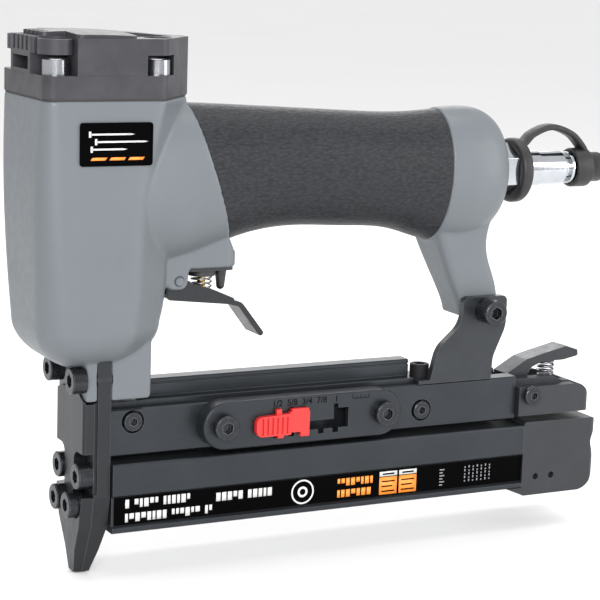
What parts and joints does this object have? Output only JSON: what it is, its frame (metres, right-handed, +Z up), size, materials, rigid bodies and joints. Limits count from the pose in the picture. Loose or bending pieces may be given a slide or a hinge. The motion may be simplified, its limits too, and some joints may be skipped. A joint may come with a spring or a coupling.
{
  "type": "pneumatic pin nail gun",
  "caption": "Hand-held compressed-air pin nailer with a pistol grip, side-loading magazine, adjustable pin length and a capped air inlet.",
  "frame": {"origin": "centre of the nose tip, where the pin leaves the tool", "axes": "+Z up along the drive axis from the nose to the exhaust cap, +X towards the air inlet, +Y to the tool's left as held, mirror plane at y = 0"},
  "size_m": [0.2207, 0.0431, 0.1764],
  "materials": {
    "casting_paint": "satin",
    "cap_plastic": "satin",
    "grip_rubber": "matte",
    "cap_rubber": "matte",
    "seal_rubber": "matte",
    "bumper_rubber": "matte",
    "bright_screw": "polished",
    "black_screw": "satin",
    "rail_black": "anodised satin",
    "nose_steel": "blackened",
    "sheet_black": "satin",
    "block_black": "satin",
    "label_film": "gloss",
    "slider_red": "satin",
    "connector": "polished",
    "brass_stem": "machined",
    "sleeve_metal": "machined",
    "tool_steel": "ground",
    "trigger_metal": "satin",
    "spring_steel": "drawn wire",
    "valve_plastic": "satin"
  },
  "bodies": {
    "tool_body": {"casting": "casting_paint", "cap": "cap_plastic", "cap_gasket": "seal_rubber", "cap_screws": "bright_screw", "cylinder_sleeve": "sleeve_metal", "sleeve_rings": "seal_rubber", "bumper": "bumper_rubber", "head_spring": "spring_steel", "grip": "grip_rubber", "badge": "label_film", "valve_plate": "valve_plastic", "valve_collar": "valve_plastic", "stem_spring": "spring_steel", "trigger_pin": "tool_steel", "nose_tip": "nose_steel", "guide_body": "nose_steel", "front_plate": "nose_steel", "nose_screws_upper": "black_screw", "nose_screws_middle": "black_screw", "nose_screws_lower": "black_screw", "main_rail": "rail_black", "top_rail": "rail_black", "rail_screws": "black_screw", "adjuster_plate": "rail_black", "adjuster_screws": "black_screw", "bracket": "sheet_black", "bracket_bolt": "black_screw", "foot_screw": "black_screw", "rear_housing": "block_black", "latch_screw": "black_screw", "latch_spring": "spring_steel", "inlet_bushing": "connector", "air_plug": "connector", "cap_ring": "cap_rubber"},
    "drive_piston": {"piston": "sleeve_metal", "piston_ring": "seal_rubber", "driver": "tool_steel"},
    "head_valve": {"head_valve": "valve_plastic"},
    "trigger": {"trigger": "trigger_metal"},
    "valve_stem": {"valve_stem": "brass_stem"},
    "length_slider": {"length_slider": "slider_red"},
    "magazine_slide": {"slide_channel": "rail_black", "slide_labels": "label_film", "rear_block": "block_black", "block_pins": "tool_steel", "pusher_spring": "spring_steel"},
    "pin_pusher": {"pusher": "tool_steel"},
    "latch_lever": {"latch": "sheet_black"},
    "dust_cap": {"dust_cap": "cap_rubber"}
  },
  "joints": [
    {"name": "piston_stroke", "type": "slide", "parent": "tool_body", "child": "drive_piston", "axis": [0, 0, -1], "range_m": [0, 0.046]},
    {"name": "head_valve_lift", "type": "slide", "parent": "tool_body", "child": "head_valve", "axis": [0, 0, 1], "range_m": [0, 0.0022], "stiffness_N_per_m": 300, "springref_m": -0.004, "deforming": ["head_spring"]},
    {"name": "trigger_pull", "type": "hinge", "parent": "tool_body", "child": "trigger", "pos_m": [0.0293, 0, 0.096], "axis": [0, -1, 0], "range_deg": [0, 7], "stiffness_Nm_per_rad": 0.12, "springref_deg": -11.46},
    {"name": "valve_stem_lift", "type": "slide", "parent": "tool_body", "child": "valve_stem", "axis": [0, 0, 1], "range_m": [0, 0.0015], "deforming": ["stem_spring"]},
    {"name": "length_slide", "type": "slide", "parent": "tool_body", "child": "length_slider", "axis": [1, 0, 0], "range_m": [0, 0.0222]},
    {"name": "magazine_open", "type": "slide", "parent": "tool_body", "child": "magazine_slide", "axis": [1, 0, 0], "range_m": [0, 0.1]},
    {"name": "pusher_travel", "type": "slide", "parent": "magazine_slide", "child": "pin_pusher", "axis": [1, 0, 0], "range_m": [0, 0.1], "stiffness_N_per_m": 30, "springref_m": -0.08, "deforming": ["pusher_spring"]},
    {"name": "latch_press", "type": "hinge", "parent": "tool_body", "child": "latch_lever", "pos_m": [0.1654, 0, 0.0489], "axis": [0, 1, 0], "range_deg": [0, 8], "stiffness_Nm_per_rad": 0.25, "springref_deg": -8.59, "deforming": ["latch_spring"]},
    {"name": "dust_cap_swing", "type": "hinge", "parent": "tool_body", "child": "dust_cap", "pos_m": [0.187, 0, 0.1407], "axis": [0, -1, 0], "range_deg": [0, 100]}
  ],
  "couplings": [
    {"joint": "valve_stem_lift", "follows": "trigger_pull", "m_per_rad": 0.0114}
  ]
}
